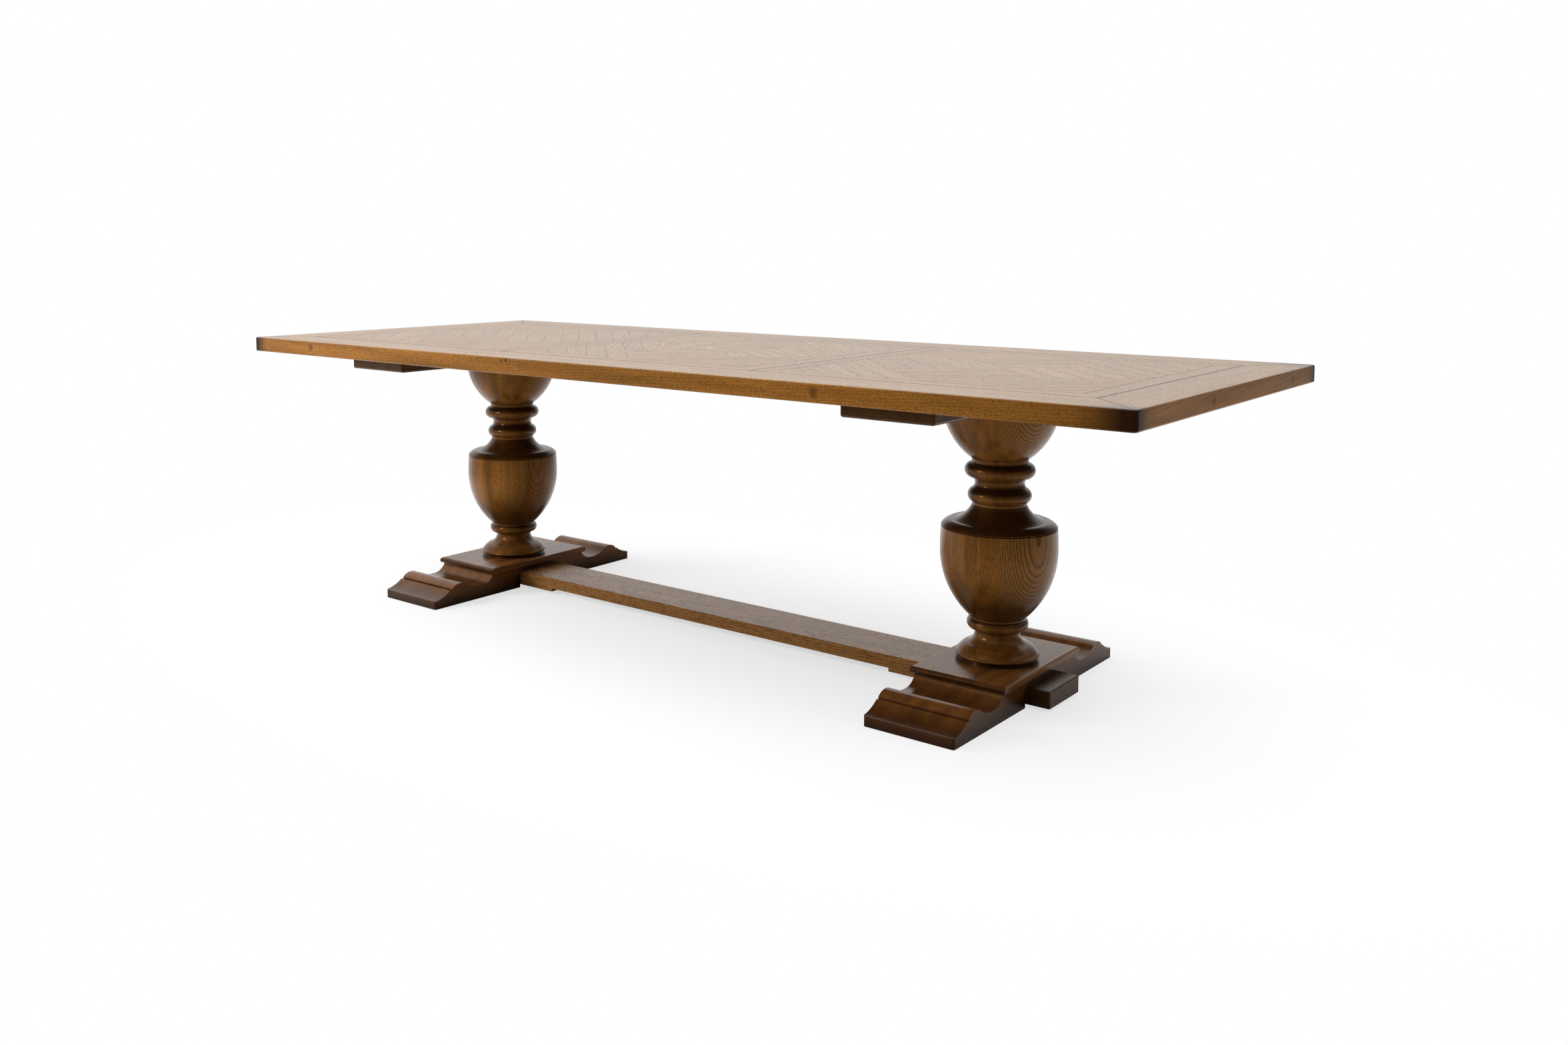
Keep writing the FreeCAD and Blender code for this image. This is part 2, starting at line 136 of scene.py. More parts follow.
class BaseSettings(bpy.types.PropertyGroup):
    """Finish of the feet, stretcher and bearers"""
    foot_pale: colour("Foot", "Dark stained oak of the feet between its pores", "#643E1C")
    foot_dark: colour("Foot grain", "Growth rings of the feet", "#472A12")
    cap_pale: colour("Cap", "Stained oak of the caps on the feet between its pores", "#704720")
    cap_dark: colour("Cap grain", "Growth rings of the caps", "#472A12")
    stretcher_pale: colour("Stretcher", "Stained oak of the stretcher between its pores", "#8A6034")
    stretcher_dark: colour("Stretcher grain", "Growth rings of the stretcher", "#5E3F20")
    bearer_pale: colour("Bearer", "Stained oak of the bearers between its pores", "#452D18")
    bearer_dark: colour("Bearer grain", "Growth rings of the bearers", "#2A1A0B")
    ring_gap: length("Ring gap", "Width of one year's growth", 7.0)


class StudioSettings(bpy.types.PropertyGroup):
    """Floor, lamps and camera"""
    floor: colour("Floor", "Pale studio floor", "#E2E2E3")
    floor_reach: length("Floor reach", "Half width of the floor", 3000.0)
    box_power: power("Soft box", "Power of the soft box in front of the table", 125.0)
    fill_power: power("Fill", "Power of the lamp at the right end", 15.0)
    gleam_power: power("Gleam", "Power of the lamp that gleams on columns and feet", 45.0)
    side_light: strength("Side light", "Strength of the light from the walls", 0.06)
    top_light: strength("Top light", "Strength of the light from above", 2.3)
    back_light: strength("Backdrop", "Strength of the light from the backdrop", 1.08)
    camera_place: FloatVectorProperty(name="Camera", description="Where the camera stands",
                                      subtype="TRANSLATION", unit="LENGTH",
                                      default=(2.30715, -2.81449, 1.07102))
    camera_turn: FloatVectorProperty(name="Camera turn", description="Which way the camera looks",
                                     subtype="EULER", unit="ROTATION",
                                     default=(math.pi / 2 - 0.0817, -0.0004, 0.6746))
    lens: FloatProperty(name="Lens", description="Focal length on a 36 mm frame", unit="CAMERA", min=1.0,
                        default=30.62)
    shift_x: FloatProperty(name="Shift across", description="Sideways shift of the frame", default=0.0300)
    shift_y: FloatProperty(name="Shift up", description="Upward shift of the frame", default=-0.1113)


def add(tree, kind, inputs=None, output=None, **settings):
    """Add one node with its settings, link or fill its inputs, and return its named or first output"""
    node = tree.nodes.new(kind)
    for name, value in settings.items():
        setattr(node, name, value)
    for key, value in (inputs or {}).items():
        if isinstance(value, bpy.types.NodeSocket):
            tree.links.new(value, node.inputs[key])
        else:
            node.inputs[key].default_value = value
    if output:
        return node.outputs[output]
    return next((socket for socket in node.outputs if socket.enabled), None)


def new_material(name):
    """Empty material and its node tree"""
    material = bpy.data.materials.new(name)
    material.use_nodes = True
    material.node_tree.nodes.clear()
    return material, material.node_tree


def give(material, *names):
    """Put a material on CAD nodes"""
    for name in names:
        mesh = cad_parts[name].data
        mesh.materials.clear()
        mesh.materials.append(material)


def opaque(rgb, share=1.0):
    """Colour with its alpha, darkened to a share of itself"""
    return (share * rgb[0], share * rgb[1], share * rgb[2], 1.0)


# Where a place lies on the table
def side_board(*axis):
    """Board number from the side of the table that a place is on, counted on the axes given as 1"""
    unused = [1.0 - share for share in axis]

    def number(tree, place):
        along = add(tree, "ShaderNodeVectorMath", {0: place, 1: axis, 2: unused}, operation="MULTIPLY_ADD")
        return add(tree, "ShaderNodeVectorMath", {0: along}, operation="SIGN")
    return number


def panel_number(tree, place):
    """Number of the panel that a place is in, as a step along X"""
    share = (0.5 / panel_half_length, 0.0, 0.0)
    half_step = (0.5, 0.0, 0.0)
    steps = add(tree, "ShaderNodeVectorMath", {0: place, 1: share, 2: half_step}, operation="MULTIPLY_ADD")
    return add(tree, "ShaderNodeVectorMath", {0: steps}, operation="FLOOR")


def in_panel(tree, place):
    """Place counted from the middle of its own panel"""
    high = Vector((panel_half_length, 1.0, 1.0))
    return add(tree, "ShaderNodeVectorMath", {0: place, 1: high, 2: -high}, operation="WRAP")


def band_board(*axis):
    """Board number of a band, from its panel and its side of the panel"""
    panel_step = (3.0, 0.0, 0.0)

    def number(tree, place):
        side = side_board(*axis)(tree, in_panel(tree, place))
        panel = panel_number(tree, place)
        return add(tree, "ShaderNodeVectorMath", {0: panel, 1: panel_step, 2: side},
                   operation="MULTIPLY_ADD")
    return number


def strip_steps(tree, place, slope):
    """Strips counted across the slanted strips of a panel"""
    inner_half_length = panel_half_length - BAND_WIDTH
    inner_half_width = panel_half_width - BAND_WIDTH
    across = Vector((-slope / inner_half_length, 1 / inner_half_width, 0.0))
    return add(tree, "ShaderNodeVectorMath", {0: in_panel(tree, place), 1: STRIPS_PER_BLOCK * across},
               output="Value", operation="DOT_PRODUCT")


def strip_board(slope):
    """Board number of a parquetry strip, from its panel and its count across the strips"""
    def number(tree, place):
        strip = add(tree, "ShaderNodeMath", {0: strip_steps(tree, place, slope)}, operation="FLOOR")
        count = add(tree, "ShaderNodeCombineXYZ", {"Y": strip, "Z": float(slope)})
        return add(tree, "ShaderNodeVectorMath", {0: panel_number(tree, place), 1: count}, operation="ADD")
    return number


def glue_steps(tree, place, axis, thickness):
    """Boards counted across the glue lines of a column, from the glue line on its axis"""
    apart = add(tree, "ShaderNodeVectorMath", {0: place, 1: axis}, operation="SUBTRACT")
    return add(tree, "ShaderNodeVectorMath", {0: apart, 1: GLUE_NORMAL / thickness}, output="Value",
               operation="DOT_PRODUCT")


def column_board(axis, thickness):
    """Board number in a column, which has one thick board on one side of its axis and two on the other"""
    def number(tree, place):
        steps = glue_steps(tree, place, axis, thickness)
        count = add(tree, "ShaderNodeMath", {0: steps}, operation="FLOOR")
        board = add(tree, "ShaderNodeClamp", {"Value": count, "Min": -2.0, "Max": 0.0})
        return add(tree, "ShaderNodeCombineXYZ", {"X": board, "Y": axis.x})
    return number


def height_of(tree, place):
    """Height above the floor"""
    return add(tree, "ShaderNodeSeparateXYZ", {0: place}, output="Z")


def away_from_height(tree, place, middle):
    """How far a place is above or below one height"""
    apart = add(tree, "ShaderNodeMath", {0: height_of(tree, place), 1: middle}, operation="SUBTRACT")
    return add(tree, "ShaderNodeMath", {0: apart}, operation="ABSOLUTE")


def column_rings(axis, thickness, most):
    """How strongly growth rings show on a column: most on its thick board, away from beads and base"""
    least = 0.15
    bead_zone = 80 * MM
    clear_zone = 110 * MM
    glue_line = 0.02

    def show(tree, place):
        from_beads = away_from_height(tree, place, UPPER_BEADS)
        clear = add(tree, "ShaderNodeMapRange", {"Value": from_beads, "From Min": bead_zone,
                                                 "From Max": clear_zone, "To Min": least, "To Max": most})
        on_urn = add(tree, "ShaderNodeMapRange", {"Value": height_of(tree, place), "From Min": URN_NECK,
                                                  "From Max": URN_BELLY, "To Min": least, "To Max": clear})
        steps = glue_steps(tree, place, axis, thickness)
        return add(tree, "ShaderNodeMapRange", {"Value": steps, "From Min": -glue_line,
                                                "From Max": glue_line, "To Min": least, "To Max": on_urn})
    return show


def facing_up(tree, least, most):
    """Share of facing up, from none at the least height of the surface's normal to all at the most"""
    normal = add(tree, "ShaderNodeNewGeometry", output="Normal")
    up = add(tree, "ShaderNodeSeparateXYZ", {0: normal}, output="Z")
    return add(tree, "ShaderNodeMapRange", {"Value": up, "From Min": least, "From Max": most},
               interpolation_type="SMOOTHSTEP")


# Darkening: each gives how much of the wax colour lies at a place: wax and stains, and painted shade
def corner_stain_and_shade(end, reach, most):
    """Dark stain rubbed into the two corners at one end of the top, further along the long sides; wide and
    faint, it is painted shade instead
    """
    corner = (half_length, half_width, 0.0)
    narrowing = (1.0, 2.2, 0.0)

    def stain(tree, place):
        size = add(tree, "ShaderNodeVectorMath", {0: place}, operation="ABSOLUTE")
        across = add(tree, "ShaderNodeVectorMath", {0: size, 1: (0.0, 1.0, 0.0)}, operation="MULTIPLY")
        out = add(tree, "ShaderNodeVectorMath", {0: place, 1: (end, 0.0, 0.0), 2: across},
                  operation="MULTIPLY_ADD")
        apart = add(tree, "ShaderNodeVectorMath", {0: out, 1: corner}, operation="SUBTRACT")
        level = add(tree, "ShaderNodeVectorMath", {0: apart, 1: narrowing}, operation="MULTIPLY")
        away = add(tree, "ShaderNodeVectorMath", {0: level}, output="Value", operation="LENGTH")
        return add(tree, "ShaderNodeMapRange", {"Value": away, "From Min": CORNER_CORE * reach,
                                                "From Max": reach, "To Min": most, "To Max": 0.0})
    return stain


def mitre_wax(tree, place):
    """Dark line of wax along the mitres of the frame"""
    line_core = 1 * MM
    line_reach = 4 * MM
    darkness = 0.7
    slant = math.sqrt(0.5)
    mitre = slant * (half_length - half_width)
    size = add(tree, "ShaderNodeVectorMath", {0: place}, operation="ABSOLUTE")
    across = add(tree, "ShaderNodeVectorMath", {0: size, 1: (slant, -slant, 0.0)}, output="Value",
                 operation="DOT_PRODUCT")
    apart = add(tree, "ShaderNodeMath", {0: across, 1: mitre}, operation="SUBTRACT")
    away = add(tree, "ShaderNodeMath", {0: apart}, operation="ABSOLUTE")
    return add(tree, "ShaderNodeMapRange", {"Value": away, "From Min": line_core, "From Max": line_reach,
                                            "To Min": darkness, "To Max": 0.0})


def panel_edge_wax(inset, reach, most):
    """Dark line of wax along a rectangle set in from the edge of each panel"""
    corner = (panel_half_length - inset, panel_half_width - inset, 0.0)

    def stain(tree, place):
        size = add(tree, "ShaderNodeVectorMath", {0: in_panel(tree, place)}, operation="ABSOLUTE")
        apart = add(tree, "ShaderNodeVectorMath", {0: size, 1: corner}, operation="SUBTRACT")
        sides = add(tree, "ShaderNodeSeparateXYZ", {0: apart}).node.outputs
        outer = add(tree, "ShaderNodeMath", {0: sides["X"], 1: sides["Y"]}, operation="MAXIMUM")
        away = add(tree, "ShaderNodeMath", {0: outer}, operation="ABSOLUTE")
        return add(tree, "ShaderNodeMapRange", {"Value": away, "From Min": JOINT_CORE * reach,
                                                "From Max": reach, "To Min": most, "To Max": 0.0})
    return stain


def frame_joint_wax(tree, place):
    """Dark line of wax on the rails, where they meet the parquetry"""
    line_core = 2 * MM
    line_reach = 6 * MM
    darkness = 0.85
    corner = (len(PANELS) * panel_half_length, panel_half_width, 0.0)
    size = add(tree, "ShaderNodeVectorMath", {0: place}, operation="ABSOLUTE")
    apart = add(tree, "ShaderNodeVectorMath", {0: size, 1: corner}, operation="SUBTRACT")
    sides = add(tree, "ShaderNodeSeparateXYZ", {0: apart}).node.outputs
    away = add(tree, "ShaderNodeMath", {0: sides["X"], 1: sides["Y"]}, operation="MAXIMUM")
    return add(tree, "ShaderNodeMapRange", {"Value": away, "From Min": line_core, "From Max": line_reach,
                                            "To Min": darkness, "To Max": 0.0})


def strip_wax(slope):
    """Faint wax line along the joints between the strips of a panel"""
    middle = 0.5
    line_start = 0.455
    line_full = 0.49
    darkness = 0.25

    def stain(tree, place):
        part = add(tree, "ShaderNodeMath", {0: strip_steps(tree, place, slope)}, operation="FRACT")
        apart = add(tree, "ShaderNodeMath", {0: part, 1: middle}, operation="SUBTRACT")
        away = add(tree, "ShaderNodeMath", {0: apart}, operation="ABSOLUTE")
        return add(tree, "ShaderNodeMapRange", {"Value": away, "From Min": line_start,
                                                "From Max": line_full, "To Max": darkness})
    return stain


def knot(spot, reach, most):
    """Small dark knot or hole at one spot of a board"""
    def stain(tree, place):
        away = add(tree, "ShaderNodeVectorMath", {0: place, 1: spot}, output="Value", operation="DISTANCE")
        return add(tree, "ShaderNodeMapRange", {"Value": away, "From Min": KNOT_CORE * reach,
                                                "From Max": reach, "To Min": most, "To Max": 0.0},
                   interpolation_type="SMOOTHSTEP")
    return stain


def hollow_shade(reach, most):
    """Painted shade in hollows and under ledges, where ambient occlusion finds them closed in"""
    hollow = 0.3
    bare = 0.85

    def stain(tree, place):
        openness = add(tree, "ShaderNodeAmbientOcclusion", {"Distance": reach}, output="AO", samples=8)
        return add(tree, "ShaderNodeMapRange", {"Value": openness, "From Min": hollow, "From Max": bare,
                                                "To Min": most, "To Max": 0.0})
    return stain


def ledge_shade(tree, place):
    """Painted shade on the ledges of a column that face the top's underside, less on its base"""
    on_base = 0.4
    on_urn = 0.84
    steepest = -0.1
    flattest = 0.6
    darkness = add(tree, "ShaderNodeMapRange", {"Value": height_of(tree, place), "From Min": LOWER_BEAD,
                                                "From Max": URN_NECK, "To Min": on_base, "To Max": on_urn})
    ledge = facing_up(tree, steepest, flattest)
    return add(tree, "ShaderNodeMath", {0: ledge, 1: darkness}, operation="MULTIPLY")


def height_darkening(middle, reach, most):
    """Darker colour around one height above the floor"""
    def stain(tree, place):
        away = away_from_height(tree, place, middle)
        return add(tree, "ShaderNodeMapRange", {"Value": away, "From Max": reach, "To Min": most,
                                                "To Max": 0.0}, interpolation_type="SMOOTHSTEP")
    return stain


def painted_end_shade(side, start, full, most):
    """Painted shade over both ends of a board, along its X or Y side"""
    def stain(tree, place):
        size = add(tree, "ShaderNodeVectorMath", {0: place}, operation="ABSOLUTE")
        out = add(tree, "ShaderNodeSeparateXYZ", {0: size}, output=side)
        return add(tree, "ShaderNodeMapRange", {"Value": out, "From Min": start, "From Max": full,
                                                "To Max": most})
    return stain


def oak(name, pale, dark, grain, board, ring_gap, darkening=(), lit_top_colours=None, heart=None, line=None, figure=0.4,
        lean=LOG_LEAN, pore=PORE, pore_mark=0.5, tint=0.08, wander=5.0, gloss=0.26):
    """Stained oak, sawn and satin lacquered: dark pores run along the grain between growth rings that curve
    where a board was cut near the heart, each board has its own tone, and the lacquer reflects softly.

    grain turns the pattern, board numbers the boards, and darkening lays dark wax, stains and painted shade
    on them. lit_top_colours paints the faces that look up paler, as painted light, heart is where the log's
    heart lies, and line is the colour between two rings.
    figure says how strongly rings show, lean how far the log leans, pore how long and wide pores are,
    pore_mark how dark they are, tint how much boards differ, wander how uneven rings are, and gloss how
    rough the lacquer is.
    """
    top = bpy.context.scene.table_top
    material, tree = new_material(name)
    place = add(tree, "ShaderNodeTexCoord", output="Object")
    heart_shift = heart or (0.0, 0.0, 0.0)
    along = add(tree, "ShaderNodeMapping", {"Vector": place, "Rotation": grain, "Location": heart_shift})
    chance = add(tree, "ShaderNodeTexWhiteNoise", {"Vector": board(tree, place)},
                 noise_dimensions="3D").node.outputs

    # Each board comes from its own place along a log, and across it too unless the heart is given
    spread = (3.0, 0.0, 0.0)
    shift = (0.0, 0.0, 0.0)
    if not heart:
        spread = (3.0, 0.1, 0.06)
        shift = (0.0, -0.05, 0.05)
    start = add(tree, "ShaderNodeVectorMath", {0: chance["Color"], 1: spread, 2: shift},
                operation="MULTIPLY_ADD")
    in_log = add(tree, "ShaderNodeVectorMath", {0: along, 1: start}, operation="ADD")

    # Growth rings around the heart, which lies a little aslant, with early wood in half of each ring
    early_start = 0.45
    early_full = 0.95
    leaning = add(tree, "ShaderNodeMapping", {"Vector": along, "Rotation": lean})
    aslant = add(tree, "ShaderNodeVectorMath", {0: leaning, 1: start}, operation="ADD")
    ring = add(tree, "ShaderNodeTexWave", {"Vector": aslant, "Scale": RING_AT_SCALE_ONE / ring_gap,
                                           "Distortion": wander, "Detail": 2.0, "Detail Scale": 0.09,
                                           "Detail Roughness": 0.55}, output="Fac",
               wave_type="RINGS", rings_direction="X", wave_profile="SAW")
    early = add(tree, "ShaderNodeMapRange", {"Value": ring, "From Min": early_start, "From Max": early_full},
                interpolation_type="SMOOTHSTEP")

    # Short pores crowd into the early wood of each ring
    pore_start = 0.51
    pore_full = 0.66
    crowding = 0.09
    pore_cells = [1 / size for size in pore]
    stretched = add(tree, "ShaderNodeVectorMath", {0: in_log, 1: pore_cells}, operation="MULTIPLY")
    dashes = add(tree, "ShaderNodeTexNoise", {"Vector": stretched, "Scale": 1.0, "Detail": 1.5},
                 output="Fac")
    least = add(tree, "ShaderNodeMath", {0: early, 1: -crowding, 2: pore_start}, operation="MULTIPLY_ADD")
    pores = add(tree, "ShaderNodeMapRange", {"Value": dashes, "From Min": least, "From Max": pore_full})

    # Faces that look up are painted paler, with fainter pores: painted light for the sheen they catch
    steepest = 0.6
    flattest = 0.95
    lit_pore_share = 0.5
    pale_wood = opaque(pale)
    dark_wood = opaque(dark)
    pore_shade = pore_mark
    if lit_top_colours:
        lit_face = facing_up(tree, steepest, flattest)
        pore_shade = add(tree, "ShaderNodeMapRange", {"Value": lit_face, "To Min": pore_mark,
                                                      "To Max": lit_pore_share * pore_mark})
        pale_wood = add(tree, "ShaderNodeMix", {"Factor": lit_face, "A": pale_wood, "B": opaque(lit_top_colours[0])},
                        data_type="RGBA")
        dark_wood = add(tree, "ShaderNodeMix", {"Factor": lit_face, "A": dark_wood, "B": opaque(lit_top_colours[1])},
                        data_type="RGBA")

    # Broad streaks of the stain under the rings
    streak_start = 0.32
    streak_full = 0.68
    streak_cells = [1 / size for size in STREAK]
    drawn = add(tree, "ShaderNodeVectorMath", {0: in_log, 1: streak_cells}, operation="MULTIPLY")
    streaks = add(tree, "ShaderNodeTexNoise", {"Vector": drawn, "Scale": 1.0, "Detail": 4.0}, output="Fac")
    depth = add(tree, "ShaderNodeMapRange", {"Value": streaks, "From Min": streak_start,
                                             "From Max": streak_full})
    wood = add(tree, "ShaderNodeMix", {"Factor": depth, "A": pale_wood, "B": dark_wood}, data_type="RGBA")
    between_rings = opaque(line) if line else pale_wood
    rings = add(tree, "ShaderNodeMix", {"Factor": early, "A": between_rings, "B": dark_wood},
                data_type="RGBA")
    ring_show = figure(tree, place) if callable(figure) else figure
    ringed = add(tree, "ShaderNodeMix", {"Factor": ring_show, "A": wood, "B": rings}, data_type="RGBA")

    # Each board's own tone, then the pores, then the wax colour for wax, stains and painted shade
    pore_wood = opaque(dark, 0.3)
    tone = add(tree, "ShaderNodeMapRange", {"Value": chance["Value"], "To Min": 1.0 - tint,
                                            "To Max": 1.0 + tint})
    toned = add(tree, "ShaderNodeHueSaturation", {"Color": ringed, "Value": tone})
    mark = add(tree, "ShaderNodeMath", {0: pores, 1: pore_shade}, operation="MULTIPLY")
    surface = add(tree, "ShaderNodeMix", {"Factor": mark, "A": toned, "B": pore_wood}, data_type="RGBA")
    for stain in darkening:
        surface = add(tree, "ShaderNodeMix", {"Factor": stain(tree, place), "A": surface,
                                              "B": opaque(top.wax)}, data_type="RGBA")

    # Satin lacquer, which sinks a little into the pores and dulls there
    pore_dulling = 0.1
    pore_depth = 0.3 * MM
    rough = add(tree, "ShaderNodeMath", {0: pores, 1: pore_dulling, 2: gloss}, operation="MULTIPLY_ADD")
    relief = add(tree, "ShaderNodeBump", {"Height": pores, "Strength": 0.2, "Distance": pore_depth},
                 invert=True)
    shader = add(tree, "ShaderNodeBsdfPrincipled", {"Base Color": surface, "Roughness": rough,
                                                    "Normal": relief, "IOR": 1.5,
                                                    "Specular Tint": opaque(top.lacquer)})
    add(tree, "ShaderNodeOutputMaterial", {"Surface": shader})
    return material


class TABLE_OT_finish_frame(bpy.types.Operator):
    """Stain and lacquer the four mitred rails of the top"""
    bl_idname = "table.finish_frame"
    bl_label = "Frame of the top"

    def execute(self, context):
        top = context.scene.table_top
        front = -half_width

        # Spot, reach and darkness: a hole with a stain beside it in the front rail, then sound knots
        knots = (((-0.255, front, 0.764), 5 * MM, 1.0),
                 ((-0.272, front, 0.762), 7 * MM, 0.4),
                 ((0.70, front, 0.750), 16 * MM, 0.5),
                 ((-1.105, front, 0.752), 14 * MM, 0.5),
                 ((half_length, -0.155, 0.75), 15 * MM, 0.5),
                 ((half_length, 0.369, 0.748), 14 * MM, 0.5))

        # End, reach and darkness: a small stain on the left corners, a strong stain on the right, and a wide
        # faint painted shade on the right
        corners = ((-1.0, 0.5 * top.stain_reach, 1.0),
                   (1.0, top.stain_reach, 1.0),
                   (1.0, 2.2 * top.stain_reach, 0.3))
        darkening = [frame_joint_wax, mitre_wax]
        darkening += [corner_stain_and_shade(*corner) for corner in corners]
        darkening += [knot(*spot) for spot in knots]

        # Solid oak rails: short dark flecks stand on their sawn edges, and their tops take the parquetry's
        # paler colours as painted light
        fleck = (5 * MM, 1.7 * MM, 1.7 * MM)
        lit_top_colours = (top.strip_pale, top.strip_dark)
        rails = (("long", GRAIN_ALONG, side_board(0, 1, 0), ("top_rail_front", "top_rail_back")),
                 ("short", GRAIN_ACROSS, side_board(1, 0, 0), ("top_rail_left", "top_rail_right")))
        for name, grain, board, nodes in rails:
            material = oak("Stained oak, " + name + " rails", top.rail_pale, top.rail_dark, grain, board,
                           top.ring_gap, darkening, lit_top_colours, figure=0.15, pore=fleck, pore_mark=0.75)
            give(material, *nodes)
        return {"FINISHED"}


class TABLE_OT_finish_parquetry(bpy.types.Operator):
    """Stain and lacquer the bands, diamonds and corners of the three panels"""
    bl_idname = "table.finish_parquetry"
    bl_label = "Parquetry"

    def execute(self, context):
        top = context.scene.table_top
        band_wax = [panel_edge_wax(0.0, 6 * MM, 0.85), panel_edge_wax(BAND_WIDTH, 4 * MM, 0.6)]
        rising_wax = [strip_wax(RISING)]
        falling_wax = [strip_wax(FALLING)]

        # Sawn oak strips: each has its own tone and grain, and dark wax draws the joints between them
        rising = strip_board(RISING)
        falling = strip_board(FALLING)
        groups = (("long bands", "band_long_", GRAIN_ALONG, band_board(0, 1, 0), band_wax),
                  ("cross bands", "band_cross_", GRAIN_ACROSS, band_board(1, 0, 0), band_wax),
                  ("rising diamonds", "diamond_rising_", GRAIN_RISING, rising, rising_wax),
                  ("falling diamonds", "diamond_falling_", GRAIN_FALLING, falling, falling_wax),
                  ("rising corners", "corner_rising_", GRAIN_RISING, rising, rising_wax),
                  ("falling corners", "corner_falling_", GRAIN_FALLING, falling, falling_wax))
        for name, stem, grain, board, darkening in groups:
            material = oak("Stained oak, " + name, top.strip_pale, top.strip_dark, grain, board,
                           top.ring_gap, darkening)
            give(material, *[stem + panel for panel in PANELS])
        return {"FINISHED"}


class TABLE_OT_finish_underside(bpy.types.Operator):
    """Stain the bearers and the ground board, and leave the hidden tongues bare"""
    bl_idname = "table.finish_underside"
    bl_label = "Underside"

    def execute(self, context):
        base = context.scene.table_base

        # Bearers: dark stained oak, with painted shade in the angle under the top
        bearers = oak("Stained oak, bearers", base.bearer_pale, base.bearer_dark, GRAIN_ACROSS,
                      side_board(1, 0, 0), base.ring_gap, [hollow_shade(30 * MM, 0.6)])
        give(bearers, "bearer_left", "bearer_right")

        # Ground board and tongues: dull, without lacquer
        ground = oak("Stained oak veneer, ground board", base.bearer_pale, base.bearer_dark, GRAIN_ALONG,
                     side_board(0, 0, 1), base.ring_gap, gloss=0.5)
        give(ground, "ground_board")
        tongues = oak("Bare beech, tongues", base.stretcher_pale, base.stretcher_dark, GRAIN_ALONG,
                      side_board(1, 1, 0), base.ring_gap, gloss=0.6)
        give(tongues, "mitre_tongues")
        return {"FINISHED"}


class TABLE_OT_finish_columns(bpy.types.Operator):
    """Stain and lacquer the turned columns, which are glued from upright boards"""
    bl_idname = "table.finish_columns"
    bl_label = "Columns"

    def execute(self, context):
        columns = context.scene.table_columns
        heart_distance = 350 * MM
        heart_ways = {"left": Vector((0.99, -0.12, 0.0)), "right": Vector((0.94, -0.34, 0.0))}
        ring_show = {"left": 0.4, "right": 0.9}
        lean = (0.0, 0.09, 0.0)
        pore = (8 * MM, 1.8 * MM, 1.8 * MM)
        # Painted shade in the hollows, around the urn's foot and the upper beads, and on the ledges that face
        # the top
        darkening = [hollow_shade(50 * MM, 0.95), height_darkening(URN_FOOT, 90 * MM, 0.7),
                  height_darkening(UPPER_BEADS, 90 * MM, 0.5), ledge_shade]

        # Turned oak: the lathe cuts the rings of one board into nested arches, and painted shade darkens the
        # hollows and ledges
        for side in SIDES:
            low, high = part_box("column_" + side)
            axis = (low + high) / 2
            heart_place = axis + heart_distance * heart_ways[side]
            heart = (0.0, -heart_place.y, heart_place.x)
            board = column_board(axis, columns.board)
            figure = column_rings(axis, columns.board, ring_show[side])
            material = oak("Stained oak, column " + side, columns.pale, columns.dark, GRAIN_UPRIGHT, board,
                           columns.ring_gap, darkening, heart=heart, line=columns.line, figure=figure,
                           lean=lean, pore=pore, pore_mark=0.6, tint=0.12, wander=2.5, gloss=0.2)
            give(material, "column_" + side)
        return {"FINISHED"}


class TABLE_OT_finish_feet(bpy.types.Operator):
    """Stain and lacquer the moulded feet and their cap boards"""
    bl_idname = "table.finish_feet"
    bl_label = "Feet"

    def execute(self, context):
        base = context.scene.table_base
        moulding_shade = [hollow_shade(35 * MM, 0.9), hollow_shade(9 * MM, 0.95)]

        # Feet: the darkest and glossiest oak, with painted shade that makes the quirks almost black, and
        # darker towards the floor
        darker_near_floor = height_darkening(0.0, 75 * MM, 1.0)
        feet = oak("Dark stained oak, feet", base.foot_pale, base.foot_dark, GRAIN_ACROSS,
                   side_board(1, 0, 0), base.ring_gap, moulding_shade + [darker_near_floor], figure=0.1,
                   pore_mark=0.25, gloss=0.18)
        give(feet, "foot_left", "foot_right")

        # Caps: a shade paler, with painted shade on the beads at their ends
        cap_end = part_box("foot_cap_left")[1].y
        bead_shade = painted_end_shade("Y", cap_end - 7 * MM, cap_end - 2 * MM, 0.85)
        caps = oak("Dark stained oak, caps", base.cap_pale, base.cap_dark, GRAIN_ACROSS,
                   side_board(1, 0, 0), base.ring_gap, moulding_shade + [bead_shade], figure=0.1,
                   pore_mark=0.35, gloss=0.2)
        give(caps, "foot_cap_left", "foot_cap_right")
        return {"FINISHED"}


class TABLE_OT_finish_stretcher(bpy.types.Operator):
    """Stain and lacquer the stretcher board"""
    bl_idname = "table.finish_stretcher"
    bl_label = "Stretcher"

    def execute(self, context):
        base = context.scene.table_base

        # Stretcher: paler oak with coarse dashes of open pores, with painted shade in its hollows and where
        # it stands out beyond the feet
        dash = (12 * MM, 4 * MM, 2 * MM)
        tip_start = 950 * MM
        tip_full = 970 * MM
        darkening = [hollow_shade(25 * MM, 0.7), painted_end_shade("X", tip_start, tip_full, 0.92)]
        stretcher = oak("Stained oak, stretcher", base.stretcher_pale, base.stretcher_dark, GRAIN_ALONG,
                        side_board(0, 0, 1), base.ring_gap, darkening, pore=dash, pore_mark=0.65)
        give(stretcher, "stretcher")
        return {"FINISHED"}


